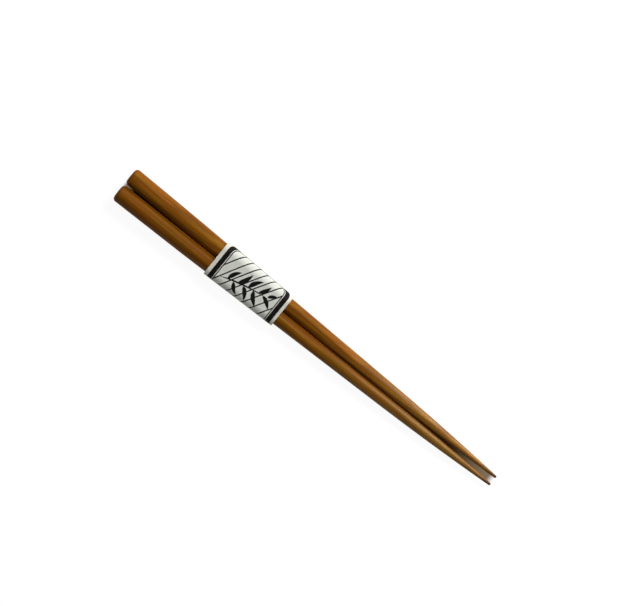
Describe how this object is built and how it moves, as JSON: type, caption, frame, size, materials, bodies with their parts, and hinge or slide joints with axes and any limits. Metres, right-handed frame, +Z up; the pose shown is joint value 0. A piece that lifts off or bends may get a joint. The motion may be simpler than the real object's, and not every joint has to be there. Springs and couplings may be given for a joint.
{
  "type": "pair of chopsticks",
  "caption": "Round tapered wooden chopsticks with flat heads and sharpened points, lying side by side in a lapped printed paper band.",
  "frame": {"origin": "on the table, midway along the pair from the heads to the tips and midway between the sticks", "axes": "+X along the pair from the heads to the tips, +Y across it to the left stick, +Z up from the table"},
  "size_m": [0.225, 0.0194, 0.0098],
  "materials": {
    "wood": "brown hardwood, polished to a satin sheen",
    "paper": "off-white smooth paper with a dark printed frame and diagonal lines"
  },
  "bodies": {
    "root": {"left_chopstick": "wood", "right_chopstick": "wood", "paper_band": "paper"}
  },
  "joints": []
}
